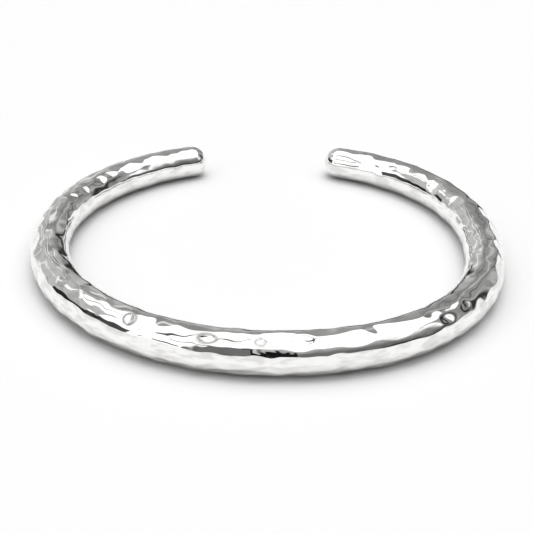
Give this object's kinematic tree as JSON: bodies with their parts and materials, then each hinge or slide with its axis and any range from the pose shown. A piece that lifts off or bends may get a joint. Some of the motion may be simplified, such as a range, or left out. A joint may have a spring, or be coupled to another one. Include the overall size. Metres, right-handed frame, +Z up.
{
  "type": "cuff bracelet",
  "caption": "Open C-shaped cuff bracelet: a solid round silver bar, thickest at the front, tapered to rounded tips, hammered outside, smooth inside and mirror polished.",
  "frame": {"origin": "bottom centre of the bounding box, on the surface that the cuff lies on", "axes": "+X across the cuff's width, -Y to the thick middle of the front, +Y to the open gap between the tips, +Z up through the wrist opening"},
  "size_m": [0.0695, 0.0673, 0.006],
  "materials": {
    "polished_silver": "hammered, then polished to a mirror"
  },
  "bodies": {
    "root": {"cuff": "polished_silver"}
  },
  "joints": []
}
